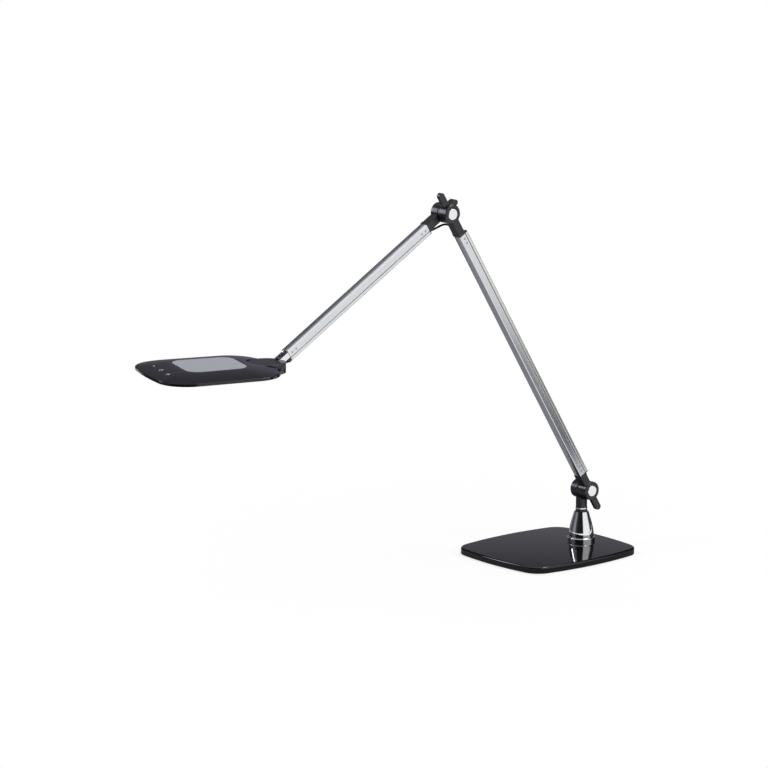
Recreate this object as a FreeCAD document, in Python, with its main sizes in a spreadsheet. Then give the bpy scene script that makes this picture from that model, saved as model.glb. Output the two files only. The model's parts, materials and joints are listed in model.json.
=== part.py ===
import FreeCAD, Part
import math
import os
import re
from FreeCAD import Placement, Rotation, Vector

# Desk lamp with two swing arms. Millimetres, +Z up, origin at the centre of the base's underside.
# The lamp reaches forward towards -Y; the hinge axes run along X and the round hinge caps face +X.
doc = FreeCAD.newDocument("DeskLamp")
sheet = doc.addObject("Spreadsheet::Sheet", "Sizes")

SIZES = {
    "base_wide": 182.0,
    "base_deep": 202.0,
    "base_bow": 430.0,
    "base_corner": 26.0,
    "base_top": 10.0,
    "pad_thick": 1.0,
    "cover_wall": 2.4,
    "post_back": 39.2,
    "cone_foot_radius": 19.0,
    "cone_radius": 17.25,
    "cone_neck_radius": 9.85,
    "cone_top": 50.3,
    "stem_radius": 7.7,
    "spindle_radius": 4.0,
    "hinge_z": 82.0,
    "hub_radius": 12.8,
    "hub_far": 9.2,
    "hub_split": 5.0,
    "near_thick": 16.0,
    "hub_gap": 0.4,
    "cap_radius": 7.5,
    "bolt_radius": 4.0,
    "run_fit": 0.06,
    "tail_len": 33.5,
    "lower_len": 480.5,
    "lower_lean": 31.7,
    "upper_len": 326.5,
    "upper_drop": 30.6,
    "tube_wide": 13.0,
    "tube_face": 5.6,
    "tube_back": 4.8,
    "tube_wall": 1.2,
    "strip_high": 4.7,
    "neck_len": 30.0,
    "upper_neck": 34.0,
    "fork_len": 21.0,
    "ear_radius": 3.7,
    "cable_radius": 1.1,
    "disc_radius": 25.0,
    "disc_thick": 9.0,
    "disc_ahead": 14.5,
    "head_turn": 18.2,
    "head_front": 164.0,
    "head_half": 82.0,
    "panel_edge": 3.8,
    "panel_rise": 6.2,
    "window_front": 118.0,
    "window_rear": 36.0,
    "window_half": 41.5,
}
for row, (word, value) in enumerate(SIZES.items(), start=1):
    sheet.set("A%d" % row, word)
    sheet.set("B%d" % row, str(value))
    sheet.setAlias("B%d" % row, word)
doc.recompute()

# Places that follow from the sizes above.
PLACES = {
    "near_x": "(hub_split + hub_gap)",
    "face_x": "(hub_split + hub_gap + near_thick)",
    "arm_x": "(hub_split + hub_gap + 0.525 * near_thick)",
    "strip_top": "(tube_back + strip_high)",
    "lower_end": "(lower_len - neck_len - 5)",
    "post_y": "(base_deep / 2 - post_back)",
    "upper_end": "(upper_len - fork_len)",
    "elbow_y": "(post_y - lower_len * sin(lower_lean))",
    "elbow_z": "(hinge_z + lower_len * cos(lower_lean))",
    "pin_y": "(elbow_y - upper_len * cos(upper_drop))",
    "pin_z": "(elbow_z - upper_len * sin(upper_drop))",
    "disc_top": "(disc_thick / 2 + 0.3)",
    "disc_low": "(-disc_thick / 2 + 0.3)",
    "pad_top": "(disc_low - 0.3)",
    "pad_low": "(disc_low - 4.4)",
    "panel_low": "(disc_low + 1.2)",
    "seam_z": "(panel_low + 2.4)",
    "rim_z": "(panel_low + panel_edge)",
    "crest_z": "(panel_low + panel_edge + panel_rise)",
    "tray_front": "(head_front - 9)",
    "tray_half": "(head_half - 13)",
    "tray_rear": "(disc_radius + 9)",
}


def ref(text):
    """Write out a formula with every word of the sheet and every place in full."""
    def full(match):
        word = match.group()
        if word in PLACES:
            return ref(PLACES[word])
        return "Sizes." + word if word in SIZES else word
    return re.sub(r"[A-Za-z_]+", full, str(text))


def number(text):
    return float(sheet.evalExpression(ref(text)))


def bind(obj, **formulas):
    for prop, text in formulas.items():
        obj.setExpression(prop.replace("__", "."), ref(text))
    return obj


def at(obj, x, y, z):
    return bind(obj, Placement__Base__x=x, Placement__Base__y=y, Placement__Base__z=z)


def minus(high, low):
    return "(%s) - (%s)" % (high, low)


def block(name, x, y, z):
    """Box between two formulas on each axis."""
    box = doc.addObject("Part::Box", name)
    bind(box, Length=minus(x[1], x[0]), Width=minus(y[1], y[0]), Height=minus(z[1], z[0]))
    return at(box, x[0], y[0], z[0])


TURN = {
    "x": Rotation(Vector(0, 1, 0), 90),
    "y": Rotation(Vector(1, 0, 0), -90),
    "z": Rotation(),
}


def along(obj, axis, span, centre):
    """Lay an upright primitive along an axis, from span[0] on, through a centre on the other two axes."""
    obj.Placement = Placement(Vector(), TURN[axis])
    places = {"x": (span[0], *centre), "y": (centre[0], span[0], centre[1]), "z": (*centre, span[0])}
    return at(obj, *places[axis])


def rod(name, radius, axis, span, centre=(0, 0)):
    piece = doc.addObject("Part::Cylinder", name)
    bind(piece, Radius=radius, Height=minus(span[1], span[0]))
    return along(piece, axis, span, centre)


def hexagon(name, across, axis, span, centre=(0, 0)):
    piece = doc.addObject("Part::Prism", name)
    piece.Polygon = 6
    bind(piece, Circumradius="(%s) / sqrt(3)" % across, Height=minus(span[1], span[0]))
    return along(piece, axis, span, centre)


def join(name, *pieces):
    whole = doc.addObject("Part::MultiFuse", name)
    whole.Shapes = list(pieces)
    return whole


def carve(name, base, *tools):
    result = doc.addObject("Part::Cut", name)
    result.Base = base
    result.Tool = tools[0] if len(tools) == 1 else join(name + "_tools", *tools)
    return result


def overlap(name, first, second):
    result = doc.addObject("Part::Common", name)
    result.Base = first
    result.Tool = second
    return result


def soften(name, base, radius, wanted, kind="Fillet"):
    """Round (or chamfer) the edges that the test picks."""
    doc.recompute()
    size = number(radius)
    edges = [i for i, edge in enumerate(base.Shape.Edges, start=1) if wanted(edge)]
    result = doc.addObject("Part::" + kind, name)
    result.Base = base
    result.Edges = [(i, size, size) for i in edges]
    return result


def runs(edge, axis):
    """True for a straight edge along an axis."""
    if edge.Curve.TypeId != "Part::GeomLine":
        return False
    return abs(abs(edge.tangentAt(edge.FirstParameter).dot(axis)) - 1) < 1e-6


def level(edge, axis, place):
    """True for an edge that lies wholly at a place on an axis."""
    return all(abs(v.Point.dot(axis) - place) < 1e-4 for v in edge.Vertexes)


def rounded(points, radii):
    """Closed outline of straight sides and tangent arcs, from corner points and corner radii."""
    corners = []
    count = len(points)
    for i in range(count):
        here = Vector(*points[i], 0)
        back = (Vector(*points[i - 1], 0) - here).normalize()
        ahead = (Vector(*points[(i + 1) % count], 0) - here).normalize()
        half = back.getAngle(ahead) / 2
        reach = radii[i] / math.tan(half)
        middle = here + (back + ahead).normalize() * (radii[i] / math.sin(half) - radii[i])
        corners.append((here + back * reach, middle, here + ahead * reach))
    lines = []
    for i in range(count):
        lines.append(Part.Arc(*corners[i]))
        lines.append(Part.LineSegment(corners[i][2], corners[(i + 1) % count][0]))
    return lines


def bowed(wide, deep, bow, corner):
    """Rectangle with bowed sides and round corners, all tangent."""
    shift_x, shift_y = bow - wide / 2, bow - deep / 2
    gap = bow - corner
    far = math.hypot(shift_x, shift_y)
    rise = math.sqrt(gap ** 2 - (far / 2) ** 2)
    middle = Vector(-shift_x / 2 + shift_y / far * rise, -shift_y / 2 + shift_x / far * rise, 0)
    first = Vector(0, -shift_y, 0) + (middle - Vector(0, -shift_y, 0)) * (bow / gap)
    second = Vector(-shift_x, 0, 0) + (middle - Vector(-shift_x, 0, 0)) * (bow / gap)
    tip = middle + (first + second - middle * 2).normalize() * corner
    lines = []
    for x, y in ((1, 1), (1, -1), (-1, -1), (-1, 1)):
        one, top, two = [Vector(v.x * x, v.y * y, 0) for v in (first, tip, second)]
        lines.append(Part.Arc(one, top, two))
        if x == y:
            lines.append(Part.Arc(two, Vector(x * wide / 2, 0, 0), Vector(two.x, -two.y, 0)))
        else:
            lines.append(Part.Arc(one, Vector(0, y * deep / 2, 0), Vector(-one.x, one.y, 0)))
    return lines


def sketch(body, role, name, lines, lift="0"):
    """Sketch on one of the body's own origin planes, lifted along the plane's normal."""
    plane = next(f for f in body.Origin.OriginFeatures if f.Role == role)
    flat = body.newObject("Sketcher::SketchObject", name)
    flat.AttachmentSupport = [(plane, "")]
    flat.MapMode = "FlatFace"
    flat.setExpression("AttachmentOffset.Base.z", ref(lift))
    flat.addGeometry(lines, False)
    return flat


def slab(name, lines, z):
    """Pad of an outline between two heights."""
    body = doc.addObject("PartDesign::Body", name)
    flat = sketch(body, "XY_Plane", name + "_outline", lines, z[0])
    pad = body.newObject("PartDesign::Pad", name + "_pad")
    pad.Profile = flat
    bind(pad, Length=minus(z[1], z[0]))
    flat.Visibility = False
    return body


def tapered(name, outlines, heights):
    """Loft through outlines at rising heights."""
    body = doc.addObject("PartDesign::Body", name)
    flats = [sketch(body, "XY_Plane", "%s_level_%d" % (name, i), lines, z)
             for i, (lines, z) in enumerate(zip(outlines, heights))]
    loft = body.newObject("PartDesign::AdditiveLoft", name + "_loft")
    loft.Profile = flats[0]
    loft.Sections = flats[1:]
    return body


def closed(points):
    return [Part.LineSegment(Vector(*points[i - 1], 0), Vector(*points[i], 0)) for i in range(len(points))]


def turned(name, lines):
    """Revolution about Z of an outline drawn as radius and height."""
    body = doc.addObject("PartDesign::Body", name)
    flat = sketch(body, "XZ_Plane", name + "_outline", lines)
    lathe = body.newObject("PartDesign::Revolution", name + "_turn")
    lathe.Profile = flat
    lathe.ReferenceAxis = (flat, ["V_Axis"])
    lathe.Angle = 360
    return body


X, Y, Z = Vector(1, 0, 0), Vector(0, 1, 0), Vector(0, 0, 1)
# Each piece is drawn in the frame of the part of the lamp that it belongs to.
FRAMES = {
    "base": ("0", "0", "0", X, "0"),
    "post": ("0", "post_y", "0", X, "0"),
    "lower": ("0", "post_y", "hinge_z", X, "lower_lean"),
    "upper": ("0", "elbow_y", "elbow_z", X, "90 + upper_drop"),
    "knuckle": ("0", "pin_y", "pin_z", X, "0"),
    "elbow": ("0", "elbow_y", "elbow_z", X, "0"),
    "head": ("0", "pin_y - disc_ahead", "pin_z", Z, "-head_turn"),
}
NODES = []


def group(name, pieces):
    """Separate pieces kept as one node."""
    whole = doc.addObject("Part::Compound", name)
    whole.Links = pieces
    return whole


def node(obj, label, frame):
    """Name a finished piece and set it in its frame; a primitive keeps its own place inside a group."""
    if obj.TypeId in ("Part::Box", "Part::Cylinder", "Part::Prism"):
        obj = group(obj.Name + "_held", [obj])
    x, y, z, axis, angle = FRAMES[frame]
    obj.Label = label
    place = "create(<<vector>>; %s; %s; %s)" % (ref(x), ref(y), ref(z))
    spin = "create(<<rotation>>; create(<<vector>>; %g; %g; %g); %s)" % (axis.x, axis.y, axis.z, ref(angle))
    obj.setExpression("Placement", "create(<<placement>>; %s; %s)" % (place, spin))
    NODES.append(obj)
    return obj


# Base: foam pad, hollow cover, steel weight.
base_wide, base_deep, base_bow = number("base_wide"), number("base_deep"), number("base_bow")
base_corner, cover_wall = number("base_corner"), number("cover_wall")


def base_outline(inset):
    return bowed(base_wide - 2 * inset, base_deep - 2 * inset, base_bow - inset, base_corner - inset)


def screw_spots(radius, count=3):
    return [(radius * math.sin(2 * math.pi * i / count), -radius * math.cos(2 * math.pi * i / count))
            for i in range(count)]


POST_SPOTS = [("%.6f * cone_radius" % x, "post_y + %.6f * cone_radius" % y) for x, y in screw_spots(0.77)]
JACK_Z = "(pad_thick + base_top - cover_wall) / 2"
node(slab("pad_slab", base_outline(3.0 * cover_wall), ("0", "pad_thick")), "base_pad", "base")

cover_block = slab("cover_block", base_outline(0), ("pad_thick", "base_top"))
cover_round = soften("cover_round", cover_block, "cover_wall", lambda e: level(e, Z, number("base_top")))
cover_room = slab("cover_room", base_outline(cover_wall), ("0", "base_top - cover_wall"))
cover_holes = [rod("cover_hole", "2.1", "z", ("0", "base_top + 1"), spot) for spot in POST_SPOTS]
cover_core = rod("cover_core", "5", "z", ("0", "base_top + 1"), ("0", "post_y"))
jack_hole = rod("jack_hole", "2.9", "y", ("base_deep / 2 - 12", "base_deep / 2 + 5"), ("0", JACK_Z))
node(carve("cover", cover_round, cover_room, *cover_holes, cover_core, jack_hole), "base_cover", "base")

weight_slab = slab("weight_slab", base_outline(cover_wall + 0.4), ("pad_thick", "base_top - cover_wall"))
weight_holes = [rod("weight_hole", "2.1", "z", ("0", "base_top"), spot) for spot in POST_SPOTS]
weight_heads = [rod("weight_head", "4.2", "z", ("0", "pad_thick + 3"), spot) for spot in POST_SPOTS]
weight_core = rod("weight_core", "5", "z", ("0", "base_top"), ("0", "post_y"))
jack_room = block("jack_room", ("-5.2", "5.2"), ("base_deep / 2 - 17", "base_deep / 2"), ("0", "base_top"))
wire_room = block("wire_room", ("-2.2", "2.2"), ("post_y", "base_deep / 2 - 10"), ("0", "pad_thick + 5"))
weight = carve("weight", weight_slab, *weight_holes, *weight_heads, weight_core, jack_room, wire_room)
node(weight, "base_weight", "base")


def screw(name, radius, head_radius, axis, head, tip, centre):
    """Pan-head screw: head span and the place of the tip."""
    return join(name, rod(name + "_head", head_radius, axis, head, centre),
                rod(name + "_shank", radius, axis, (head[1], tip), centre))


post_screws = [screw("post_screw_%d" % i, "2", "3.8", "z", ("pad_thick + 0.4", "pad_thick + 3"),
                     "base_top + 11", spot)
               for i, spot in enumerate(POST_SPOTS)]
node(group("post_screw_set", post_screws), "post_screws", "base")

jack_box = block("jack_box", ("-4.8", "4.8"), ("base_deep / 2 - 16", "base_deep / 2 - cover_wall"),
                 ("pad_thick", "base_top - cover_wall"))
jack_nose = rod("jack_nose", "2.8", "y", ("base_deep / 2 - cover_wall - 1", "base_deep / 2 - 0.4"),
                ("0", JACK_Z))
jack_bore = rod("jack_bore", "2", "y", ("base_deep / 2 - 12", "base_deep / 2"), ("0", JACK_Z))
node(carve("jack", join("jack_solid", jack_box, jack_nose), jack_bore), "dc_jack", "base")
node(rod("jack_pin", "0.6", "y", ("base_deep / 2 - 12", "base_deep / 2 - 2"), ("0", JACK_Z)),
     "dc_jack_pin", "base")
node(rod("base_lead", "cable_radius", "y", ("post_y + 2", "base_deep / 2 - 16"),
         ("0", "pad_thick + cable_radius")),
     "base_wire", "base")

# Cone: bell-shaped turning with a foot ring, hollow for the swivel nut and bored for the bush.
foot, bell, neck = number("cone_foot_radius"), number("cone_radius"), number("cone_neck_radius")
floor_z, bell_top = number("base_top"), number("cone_top")
bell_low = floor_z + 6.4
rise = bell_top - bell_low
bush_radius = number("spindle_radius") + 2.0
room_radius = number("spindle_radius") + 5.0
room_top = bell_low + 0.35 * rise
BELL_SHAPE = ((0.0, 1.0), (0.08, 0.997), (0.206, 0.946), (0.375, 0.79), (0.54, 0.615), (0.705, 0.4),
              (0.873, 0.176), (1.0, 0.0))
bell_points = [Vector(neck + (bell - neck) * share, bell_low + rise * part, 0)
               for part, share in BELL_SHAPE]
bell_side = Part.BSplineCurve()
bell_side.interpolate(bell_points)
corner = 1.2
foot_arc = Part.Arc(Vector(foot, floor_z + 5.2 - corner, 0),
                    Vector(foot - corner * (1 - math.sqrt(0.5)),
                           floor_z + 5.2 - corner * (1 - math.sqrt(0.5)), 0),
                    Vector(foot - corner, floor_z + 5.2, 0))
chain = [(bush_radius, bell_top), (bush_radius, room_top), (room_radius, room_top), (room_radius, floor_z),
         (foot, floor_z), (foot, floor_z + 5.2 - corner)]
ledge = [(foot - corner, floor_z + 5.2), (bell - 1.0, floor_z + 5.2),
         (bell - 1.0, bell_low), (bell, bell_low)]
bell_lines = [Part.LineSegment(Vector(*a, 0), Vector(*b, 0)) for a, b in zip(chain, chain[1:])]
bell_lines.append(foot_arc)
bell_lines += [Part.LineSegment(Vector(*a, 0), Vector(*b, 0)) for a, b in zip(ledge, ledge[1:])]
bell_lines += [bell_side, Part.LineSegment(Vector(neck, bell_top, 0), Vector(bush_radius, bell_top, 0))]
cone_turned = turned("cone_turned", bell_lines)
CONE_SPOTS = [(x, y.replace("post_y + ", "")) for x, y in POST_SPOTS]
cone_holes = [rod("cone_hole", "2", "z", ("base_top - 1", "base_top + 11"), spot) for spot in CONE_SPOTS]
node(carve("cone", cone_turned, *cone_holes), "post_cone", "post")

# Swivel in the cone: flanged bush, hollow spindle, washer, nut, ring and wire.
COLLAR = "(cone_top + 3.8)"
RING = "(cone_top + 5.6)"
ROOM_TOP = "(base_top + 6.4 + 0.35 * (cone_top - base_top - 6.4))"
bush = join("bush_solid", rod("bush_sleeve", "spindle_radius + 2", "z", (ROOM_TOP, COLLAR)),
            rod("bush_flange", "stem_radius + 0.2", "z", ("cone_top", COLLAR)))
bush_bore = rod("bush_bore", "spindle_radius + run_fit", "z", ("0", RING))
node(carve("bush", bush, bush_bore), "swivel_bush", "post")
SPINDLE_TOP = "(hinge_z - hub_radius - 0.6)"
spindle = rod("spindle_bar", "spindle_radius", "z", ("base_top + 2", SPINDLE_TOP))
spindle_bore = rod("spindle_bore", "cable_radius + 0.5", "z", ("0", SPINDLE_TOP + " + 1"))
node(carve("spindle", spindle, spindle_bore), "swivel_spindle", "post")
NUT_TOP = "(%s - 2)" % ROOM_TOP
nut = hexagon("nut_bar", "2 * spindle_radius + 5", "z", (NUT_TOP + " - 6", NUT_TOP))
nut_bore = rod("nut_bore", "spindle_radius", "z", ("0", NUT_TOP + " + 1"))
node(carve("nut", nut, nut_bore), "spindle_nut", "post")
washer = rod("washer_disc", "spindle_radius + 4", "z", (NUT_TOP, ROOM_TOP + " - 0.4"))
washer_bore = rod("washer_bore", "spindle_radius", "z", ("0", ROOM_TOP))
node(carve("washer", washer, washer_bore), "spindle_washer", "post")
ring = rod("ring_disc", "stem_radius + 0.4", "z", (COLLAR + " + 0.3", RING))
ring_bore = rod("ring_bore", "spindle_radius", "z", ("0", RING + " + 1"))
node(carve("ring", ring, ring_bore), "stem_ring", "post")
node(rod("post_lead", "cable_radius", "z", ("pad_thick + 1", SPINDLE_TOP)), "post_wire", "post")

# Hinge hardware, drawn about the hinge axis: bolt fixed in the far disc, washers and nut in the near one.
HEAD_X = "(-hub_far + 3.4)"
POCKET_X = "(near_x + 0.42 * near_thick)"
SEAT_X = "(face_x - 1.8)"


def hinge_set(where, frame, axis_z):
    """Bolt, nut, spring washer and friction washer of one hinge."""
    spot = ("0", axis_z)
    bolt = join(where + "_bolt_solid", hexagon(where + "_bolt_head", "12", "x", ("-hub_far", HEAD_X), spot),
                rod(where + "_bolt_shank", "bolt_radius", "x", (HEAD_X, POCKET_X), spot),
                rod(where + "_bolt_end", "bolt_radius - 1", "x", (POCKET_X, SEAT_X + " - 0.6"), spot))
    node(bolt, where + "_bolt", frame)
    hinge_nut = hexagon(where + "_nut_bar", "10", "x", (POCKET_X + " + 1.3", SEAT_X + " - 0.8"), spot)
    hinge_bore = rod(where + "_nut_bore", "bolt_radius - 1", "x", ("0", "face_x"), spot)
    node(carve(where + "_nut_cut", hinge_nut, hinge_bore), where + "_nut", frame)
    spring = rod(where + "_spring_disc", "bolt_radius + 2.4", "x",
                 (POCKET_X + " + 0.3", POCKET_X + " + 1.3"), spot)
    spring_bore = rod(where + "_spring_bore", "bolt_radius - 1", "x", ("0", "face_x"), spot)
    node(carve(where + "_spring_cut", spring, spring_bore), where + "_spring_washer", frame)
    pad = rod(where + "_pad_disc", "hub_radius - 2.4", "x", ("hub_split - 0.9", "hub_split + 0.1"), spot)
    pad_bore = rod(where + "_pad_bore", "bolt_radius", "x", ("0", "face_x"), spot)
    node(carve(where + "_pad_cut", pad, pad_bore), where + "_friction_washer", frame)


def far_cuts(where, axis_z):
    """Bolt bore, hexagon recess and washer recess of a far disc."""
    spot = ("0", axis_z)
    return [rod(where + "_far_bore", "bolt_radius", "x", ("-hub_far - 1", "hub_split + 1"), spot),
            hexagon(where + "_far_hex", "12", "x", ("-hub_far - 1", HEAD_X), spot),
            rod(where + "_far_pad", "hub_radius - 2.4", "x", ("hub_split - 0.9", "hub_split + 1"), spot)]


def round_tail(name, x, half, z_axis, z_end):
    """Flat bar from a hinge axis with a round end."""
    return [block(name + "_bar", x, ("-(%s)" % half, half), tuple(sorted((z_axis, z_end), key=number))),
            rod(name + "_end", half, "x", x, ("0", z_end))]


# Stem with the far disc of the lower hinge and its short tail.
stem = overlap("stem_flat", rod("stem_bar", "stem_radius", "z", (RING, "hinge_z")),
               block("stem_side", ("-stem_radius", "hub_split"), ("-stem_radius", "stem_radius"),
                     (RING, "hinge_z")))
stem_low = rod("stem_low", "stem_radius", "z", (RING, "hinge_z - hub_radius - 1"))
stem_disc = soften("stem_disc_edge", rod("stem_disc", "hub_radius", "x", ("-hub_far", "hub_split"),
                                         ("0", "hinge_z")), "0.7",
                   lambda e: e.Curve.TypeId == "Part::GeomCircle", "Chamfer")
stem_tail = round_tail("stem_tail", ("-hub_far + 2", "hub_split - 0.6"), "5", "hinge_z", "hinge_z + 20")
stem_bore = rod("stem_bore", "spindle_radius", "z", ("0", SPINDLE_TOP))
node(carve("stem", join("stem_solid", stem, stem_low, stem_disc, *stem_tail), stem_bore,
           *far_cuts("stem", "hinge_z")),
     "stem_hub", "post")
hinge_set("lower_hinge", "post", "hinge_z")

# Lower arm: two near hubs, tube, cable strip, screws, caps and wire. Local z runs up the arm.
ARM_SIDE = ("arm_x - tube_wide / 2", "arm_x + tube_wide / 2")
MID_SIDE = ("-tube_wide / 2", "tube_wide / 2")
MIDDLE = {ARM_SIDE: "arm_x", MID_SIDE: "0"}
TONGUE = 18.0
CABLE_IN, CABLE_DOWN = 3.2, 17.5


def grown(span, size):
    return ("(%s) - (%s)" % (span[0], size), "(%s) + (%s)" % (span[1], size))


def across(sign, inset="0"):
    """Span of the tube about the hinge line; the strip lies on the side that the sign gives."""
    low, high = ("tube_face", "tube_back") if sign > 0 else ("tube_back", "tube_face")
    return ("-%s + (%s)" % (low, inset), "%s - (%s)" % (high, inset))


def beside(sign, low, high):
    """Span on the strip's side of the hinge line."""
    return (low, high) if sign > 0 else ("-(%s)" % high, "-(%s)" % low)


def socket(name, side, neck, sign, inner=None):
    """Neck, collar on the end of the tube, end plate of the strip and tongue; neck = (hinge, tube end)."""
    ahead = number(neck[1]) > number(neck[0])
    step = 1 if ahead else -1
    spans = [(neck[0], neck[1]), ("%s + %g" % (neck[0], 14.2 * step), neck[1]),
             ("%s - %d" % (neck[1], 5 * step), neck[1]), ("%s - %g" % (neck[1], 1.5 * step), neck[1]),
             (neck[1], "%s + %d" % (neck[1], TONGUE * step))]
    spans = [span if ahead else span[::-1] for span in spans]
    wall = "tube_wall + 0.05"
    plate = block(name + "_plate", grown(side, "-0.4"),
                  beside(sign, "tube_back - 1", "strip_top - 0.3"), spans[3])
    notch = block(name + "_notch", ("(%s) - 2" % MIDDLE[side], "(%s) + 2" % MIDDLE[side]),
                  beside(sign, "tube_back + 0.6", "strip_top + 1"), grown(spans[3], "1"))
    return [block(name + "_root", inner or side, across(sign), spans[0]),
            block(name + "_neck", side, across(sign), spans[1]),
            block(name + "_collar", grown(side, "0.3"), across(sign, "-0.3"), spans[2]),
            carve(name + "_end", plate, notch),
            block(name + "_tongue", grown(side, "-(%s)" % wall), across(sign, wall), spans[4])]


def near_hub(where, axis_z, neck_end, label):
    """Near disc with cap seat, tail away from the arm and socket towards it."""
    spot = ("0", axis_z)
    away = "-" if number(neck_end) > number(axis_z) else "+"
    disc = rod(where + "_disc", "hub_radius", "x", ("near_x", "face_x"), spot)
    disc = soften(where + "_disc_edge", disc, "0.7",
                  lambda e: e.Curve.TypeId == "Part::GeomCircle", "Chamfer")
    tail = round_tail(where + "_tail", ("arm_x - 2", "arm_x + 3.6"), "4.4", axis_z,
                      "%s %s (tail_len - 4.4)" % (axis_z, away))
    solid = join(where + "_solid", disc, *tail, *socket(where, ARM_SIDE, (axis_z, neck_end), 1))
    cuts = [rod(where + "_bore", "bolt_radius + run_fit", "x", ("0", "face_x + 1"), spot),
            rod(where + "_pocket", "cap_radius - 0.6", "x", (POCKET_X, "face_x + 1"), spot),
            rod(where + "_seat", "cap_radius", "x", (SEAT_X, "face_x + 1"), spot)]
    cuts += tongue_bores(where, ARM_SIDE[1], neck_end, away == "-")
    if where == "head_hub":
        cuts.append(rod(where + "_cable", "cable_radius", "x", (ARM_SIDE[0] + " - 1", ARM_SIDE[0] + " + 4"),
                        ("-%g" % CABLE_IN, "lower_len - %g" % CABLE_DOWN)))
    node(carve(where + "_cut", solid, *cuts), label, "lower")
    cap = rod(where + "_cap_disc", "cap_radius", "x", (SEAT_X, "face_x + 0.5"), spot)
    node(soften(where + "_cap_round", cap, "0.6", lambda e: level(e, X, number("face_x + 0.5"))),
         where.replace("_hub", "") + "_cap", "lower")


def screw_places(neck_end, ahead):
    step = 1 if ahead else -1
    return ["%s + %d" % (neck_end, step * 6), "%s + %d" % (neck_end, step * 13)]


def tongue_bores(name, side, neck_end, ahead):
    return [rod(name + "_thread", "0.9", "x", (side + " - 6", side), ("0", z))
            for z in screw_places(neck_end, ahead)]


def side_holes(name, side, ends):
    """Screw holes through the +X wall of a tube."""
    return [rod(name + "_hole", "1.5", "x", (side + " - tube_wall - 0.02", side + " + 1"), ("0", z))
            for neck_end, ahead in ends for z in screw_places(neck_end, ahead)]


def side_screws(name, side, ends):
    """Small flush screws that hold the tongues in a tube."""
    places = [z for neck_end, ahead in ends for z in screw_places(neck_end, ahead)]
    return [join("%s_%d" % (name, i),
                 rod("%s_head_%d" % (name, i), "1.4", "x", (side + " - tube_wall", side), ("0", z)),
                 rod("%s_body_%d" % (name, i), "0.9", "x", (side + " - 6", side + " - tube_wall"),
                     ("0", z)))
            for i, z in enumerate(places)]


def tube(name, side, z, ends, sign):
    """Hollow aluminium tube with rounded long edges."""
    outer = block(name + "_outer", side, across(sign), z)
    outer = soften(name + "_round", outer, "1.1", lambda e: runs(e, Z))
    inner = block(name + "_inner", grown(side, "-tube_wall"), across(sign, "tube_wall"), grown(z, "1"))
    return carve(name + "_cut", outer, inner, *side_holes(name, side[1], ends))


def strip(name, side, z, sign):
    """Cable strip: rounded channel whose open side lies on the tube."""
    outer = block(name + "_outer", side, beside(sign, "tube_back", "strip_top"), z)
    outer = soften(name + "_round", outer, "1.1", lambda e: runs(e, Z))
    inner = block(name + "_inner", grown(side, "-tube_wall - 0.8"),
                  beside(sign, "tube_back - 1", "strip_top - 1"),
                  grown(z, "1"))
    return carve(name + "_cut", outer, inner)


LOWER_ENDS = [("neck_len", True), ("lower_end", False)]
LOWER_SPAN = ("neck_len", "lower_end")
near_hub("foot_hub", "0", "neck_len", "lower_arm_foot_hub")
near_hub("head_hub", "lower_len", "lower_end", "lower_arm_head_hub")
node(tube("lower_tube", ARM_SIDE, LOWER_SPAN, LOWER_ENDS, 1), "lower_arm_tube", "lower")
node(strip("lower_strip", ARM_SIDE, LOWER_SPAN, 1), "lower_arm_strip", "lower")
node(group("lower_screw_set", side_screws("lower_screw", ARM_SIDE[1], LOWER_ENDS)),
     "lower_arm_screws", "lower")
lower_lead = rod("lower_lead", "cable_radius", "z", LOWER_SPAN, ("arm_x", "tube_back + cable_radius + 0.4"))
node(lower_lead, "lower_arm_wire", "lower")

# Upper arm: far disc of the elbow with tail and socket, tube, strip, fork, plug, screws and wire.
upper_disc = rod("upper_disc", "hub_radius", "x", ("-hub_far", "hub_split"))
upper_disc = soften("upper_disc_edge", upper_disc, "0.7",
                    lambda e: e.Curve.TypeId == "Part::GeomCircle", "Chamfer")
upper_tail = round_tail("upper_tail", ("-hub_far + 3.7", "hub_split - 0.8"), "4", "0", "-(tail_len - 11)")
upper_socket = socket("upper", MID_SIDE, ("0", "upper_neck"), -1, (MID_SIDE[0], "hub_split"))
upper_solid = join("upper_solid", upper_disc, *upper_tail, *upper_socket)
STRIP_MID = "(-tube_back - cable_radius - 1.3)"
UPPER_ENDS = [("upper_neck", True), ("upper_end", False)]
upper_bores = tongue_bores("upper", MID_SIDE[1], "upper_neck", True)
node(carve("upper_hub_cut", upper_solid, *upper_bores, *far_cuts("upper", "0")), "upper_arm_hub", "upper")
hinge_set("elbow", "upper", "0")
UPPER_SPAN = ("upper_neck", "upper_end")
node(tube("upper_tube", MID_SIDE, UPPER_SPAN, UPPER_ENDS, -1), "upper_arm_tube", "upper")
node(strip("upper_strip", MID_SIDE, UPPER_SPAN, -1), "upper_arm_strip", "upper")
node(group("upper_screw_set", side_screws("upper_screw", MID_SIDE[1], UPPER_ENDS)),
     "upper_arm_screws", "upper")
node(rod("upper_lead", "cable_radius", "z", UPPER_SPAN, ("0", STRIP_MID)), "upper_arm_wire", "upper")

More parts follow.
